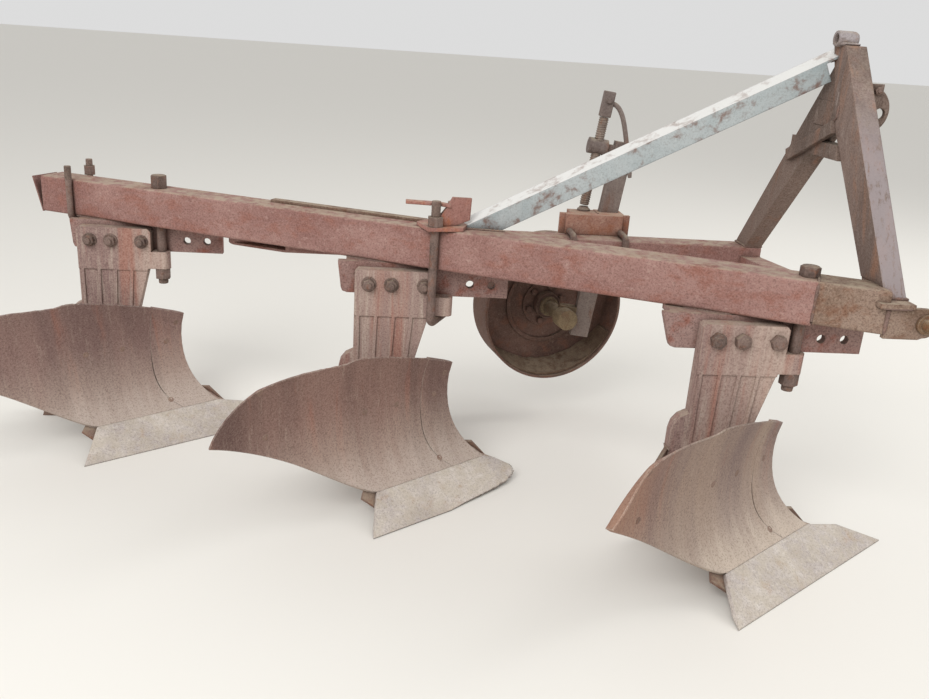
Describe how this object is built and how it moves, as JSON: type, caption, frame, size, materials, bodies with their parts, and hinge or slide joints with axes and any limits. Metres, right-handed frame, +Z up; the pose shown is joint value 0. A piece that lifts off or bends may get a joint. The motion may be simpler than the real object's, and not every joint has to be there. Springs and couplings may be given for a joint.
{
  "type": "mounted moldboard plough",
  "caption": "Mounted moldboard plough: a slanting tube frame with bolted plough bodies, an A-shaped hitch mast with a strut, and a screw-set gauge wheel.",
  "frame": {"origin": "under the middle of the bounding box, on the ground that the shares and landsides stand on", "axes": "+X along travel, towards the hitch; +Y to the land side, away from the side the furrows turn to; +Z up"},
  "size_m": [2.4932, 1.4534, 1.254],
  "materials": {
    "frame_paint": "faded red-brown paint, dusty and rusting",
    "hitch_steel": "brown rust with ochre earth",
    "pin_steel": "rusted, worn bright at the end",
    "mast_steel": "brown-purple rusted steel with a grey bloom",
    "strut_steel": "pale grey-white angle bar with rust runs",
    "bracket_paint": "faded red-brown paint",
    "standard_iron": "rusted casting with ochre paint remnants",
    "board_steel": "even dark brown rust",
    "share_steel": "grey-tan worn and lightly rusted",
    "landside_steel": "brown rust",
    "clamp_paint": "orange-red paint and rust",
    "strap_rust": "bright orange rust",
    "wheel_steel": "dark brown rust, earthy tread",
    "axle_paint": "olive-yellow paint and rust",
    "bolt_steel": "dark rusted steel"
  },
  "bodies": {
    "frame": {"main_beam": "frame_paint", "beam_front": "hitch_steel", "longitudinal_beam": "frame_paint", "tie_beam": "frame_paint", "joint_strip": "bolt_steel", "hitch_plate_right": "hitch_steel", "hitch_plate_left": "hitch_steel", "mast_pad": "hitch_steel", "hitch_pin_right": "pin_steel", "hitch_pin_left": "pin_steel", "mast_leg_right": "mast_steel", "mast_leg_left": "mast_steel", "mast_head": "mast_steel", "mast_ties": "mast_steel", "top_link_ears": "mast_steel", "strut": "strut_steel", "bracket_1": "bracket_paint", "bracket_2": "bracket_paint", "bracket_3": "bracket_paint", "standard_1": "standard_iron", "standard_2": "standard_iron", "standard_3": "standard_iron", "breast_1": "board_steel", "breast_2": "board_steel", "breast_3": "board_steel", "wing_1": "board_steel", "wing_2": "board_steel", "wing_3": "board_steel", "share_1": "share_steel", "share_2": "share_steel", "share_3": "share_steel", "landside_1": "landside_steel", "landside_2": "landside_steel", "landside_3": "landside_steel", "stay_1": "landside_steel", "stay_2": "landside_steel", "stay_3": "landside_steel", "upright_bolts": "bolt_steel", "repair_u_bolt": "bolt_steel", "clamp_plate": "strap_rust", "bent_strap": "strap_rust", "rear_u_bolt": "bolt_steel", "wheel_bracket": "clamp_paint", "wheel_u_bolts": "bolt_steel", "depth_screw": "bolt_steel", "depth_crank": "bolt_steel"},
    "depth_slide": {"wheel_post": "bolt_steel", "wheel_axle": "axle_paint"},
    "gauge_wheel": {"wheel": "wheel_steel"}
  },
  "joints": [
    {"name": "wheel_depth", "type": "slide", "parent": "frame", "child": "depth_slide", "axis": [0.1219, 0, 0.9925], "range_m": [-0.13, 0.05]},
    {"name": "wheel_spin", "type": "hinge", "parent": "depth_slide", "child": "gauge_wheel", "pos_m": [0.4412, 0.63889, 0.386], "axis": [-0.225, 0.9744, 0], "continuous": true}
  ]
}
